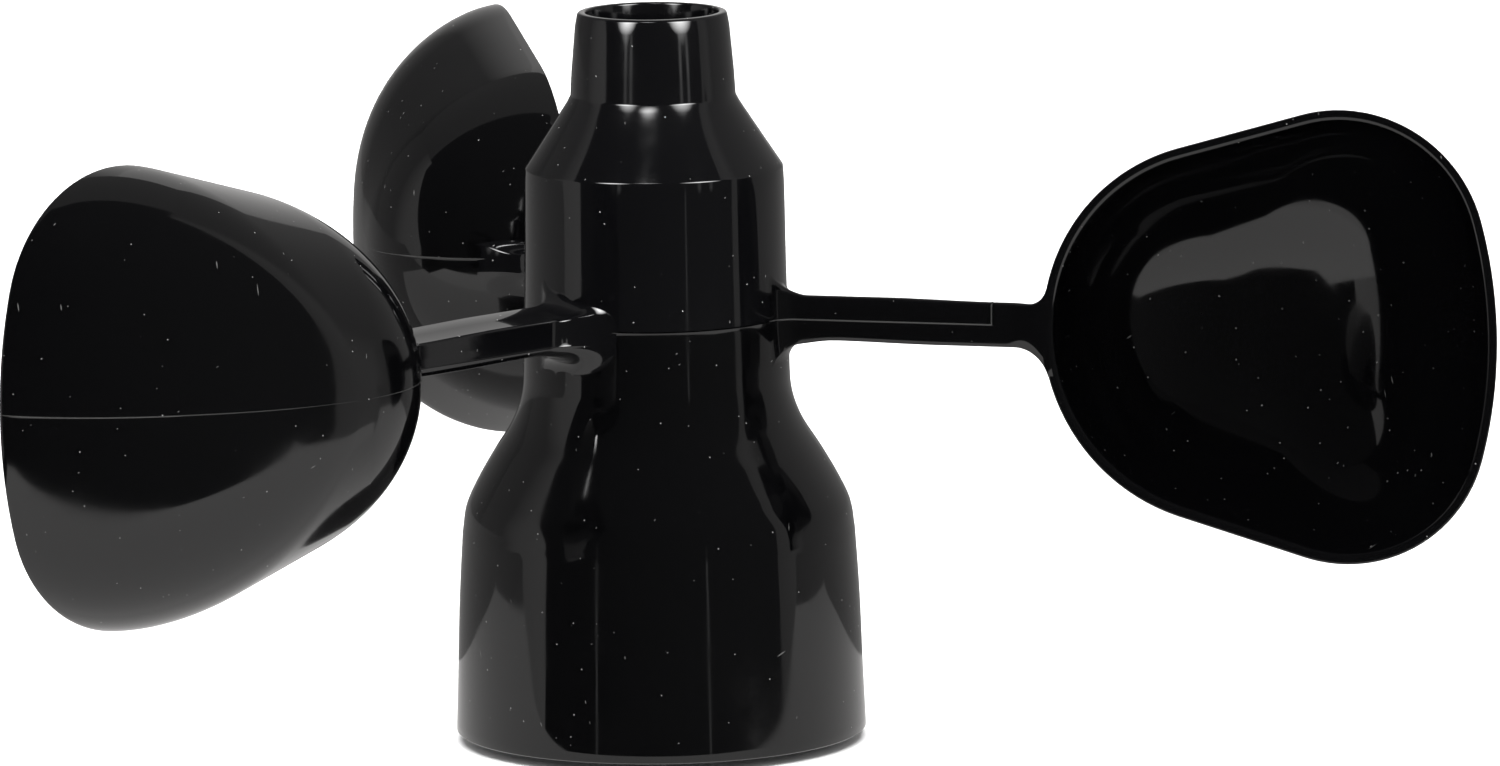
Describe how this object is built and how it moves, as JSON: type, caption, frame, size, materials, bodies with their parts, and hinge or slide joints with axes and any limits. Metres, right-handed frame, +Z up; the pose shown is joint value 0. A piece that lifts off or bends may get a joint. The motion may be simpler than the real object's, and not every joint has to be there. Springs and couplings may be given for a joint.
{
  "type": "cup anemometer",
  "caption": "Cup anemometer: gloss black rotor of half-egg cups on a bell-shaped hub, which spins freely on a ball-bearing cartridge with a magnetic pulse sensor.",
  "frame": {"origin": "centre of the foot's flat underside, on the spindle's axis", "axes": "+Z up along the spindle's axis, +X along the first arm towards its cup"},
  "size_m": [0.1486, 0.1663, 0.0814],
  "materials": {
    "black_plastic": "gloss black moulded plastic with fine mould lines",
    "steel": "bright turned stainless steel",
    "bearing_steel": "ground and polished bearing steel",
    "brass": "turned brass",
    "magnet_nickel": "nickel plated magnet",
    "grey_plastic": "dark grey moulded plastic, fine matt grain",
    "rubber": "matt black rubber",
    "circuit_board": "green solder mask",
    "switch_glass": "green-tinted glass capsule"
  },
  "bodies": {
    "cartridge": {"sensor_base": "grey_plastic", "sensor_cover": "grey_plastic", "base_seal": "rubber", "bearing_housing": "grey_plastic", "housing_circlip": "steel", "bearing_spacer": "steel", "lower_outer_race": "bearing_steel", "upper_outer_race": "bearing_steel", "sensor_board": "circuit_board", "reed_switch": "switch_glass", "board_screw_1": "steel", "board_screw_2": "steel", "housing_screw_1": "steel", "housing_screw_2": "steel", "housing_screw_3": "steel", "cable_grommet": "rubber"},
    "rotor": {"hub_upper": "black_plastic", "hub_bell": "black_plastic", "arm_1": "black_plastic", "arm_2": "black_plastic", "arm_3": "black_plastic", "cup_1": "black_plastic", "cup_2": "black_plastic", "cup_3": "black_plastic", "spindle": "steel", "spindle_clip": "steel", "shaft_insert": "brass", "nut_washer": "steel", "retaining_nut": "steel", "drip_ring": "rubber", "magnet_carrier": "grey_plastic", "magnet_1": "magnet_nickel", "magnet_2": "magnet_nickel", "lower_inner_race": "bearing_steel", "upper_inner_race": "bearing_steel"},
    "lower_cage": {"lower_ball_cage": "bearing_steel"},
    "upper_cage": {"upper_ball_cage": "bearing_steel"}
  },
  "joints": [
    {"name": "rotor_spin", "type": "hinge", "parent": "cartridge", "child": "rotor", "pos_m": [0, 0, 0.0473], "axis": [0, 0, 1], "continuous": true},
    {"name": "lower_cage_spin", "type": "hinge", "parent": "cartridge", "child": "lower_cage", "pos_m": [0, 0, 0.0112], "axis": [0, 0, 1], "continuous": true},
    {"name": "upper_cage_spin", "type": "hinge", "parent": "cartridge", "child": "upper_cage", "pos_m": [0, 0, 0.0373], "axis": [0, 0, 1], "continuous": true}
  ],
  "couplings": [
    {"joint": "lower_cage_spin", "follows": "rotor_spin", "ratio": 0.393},
    {"joint": "upper_cage_spin", "follows": "rotor_spin", "ratio": 0.393}
  ]
}
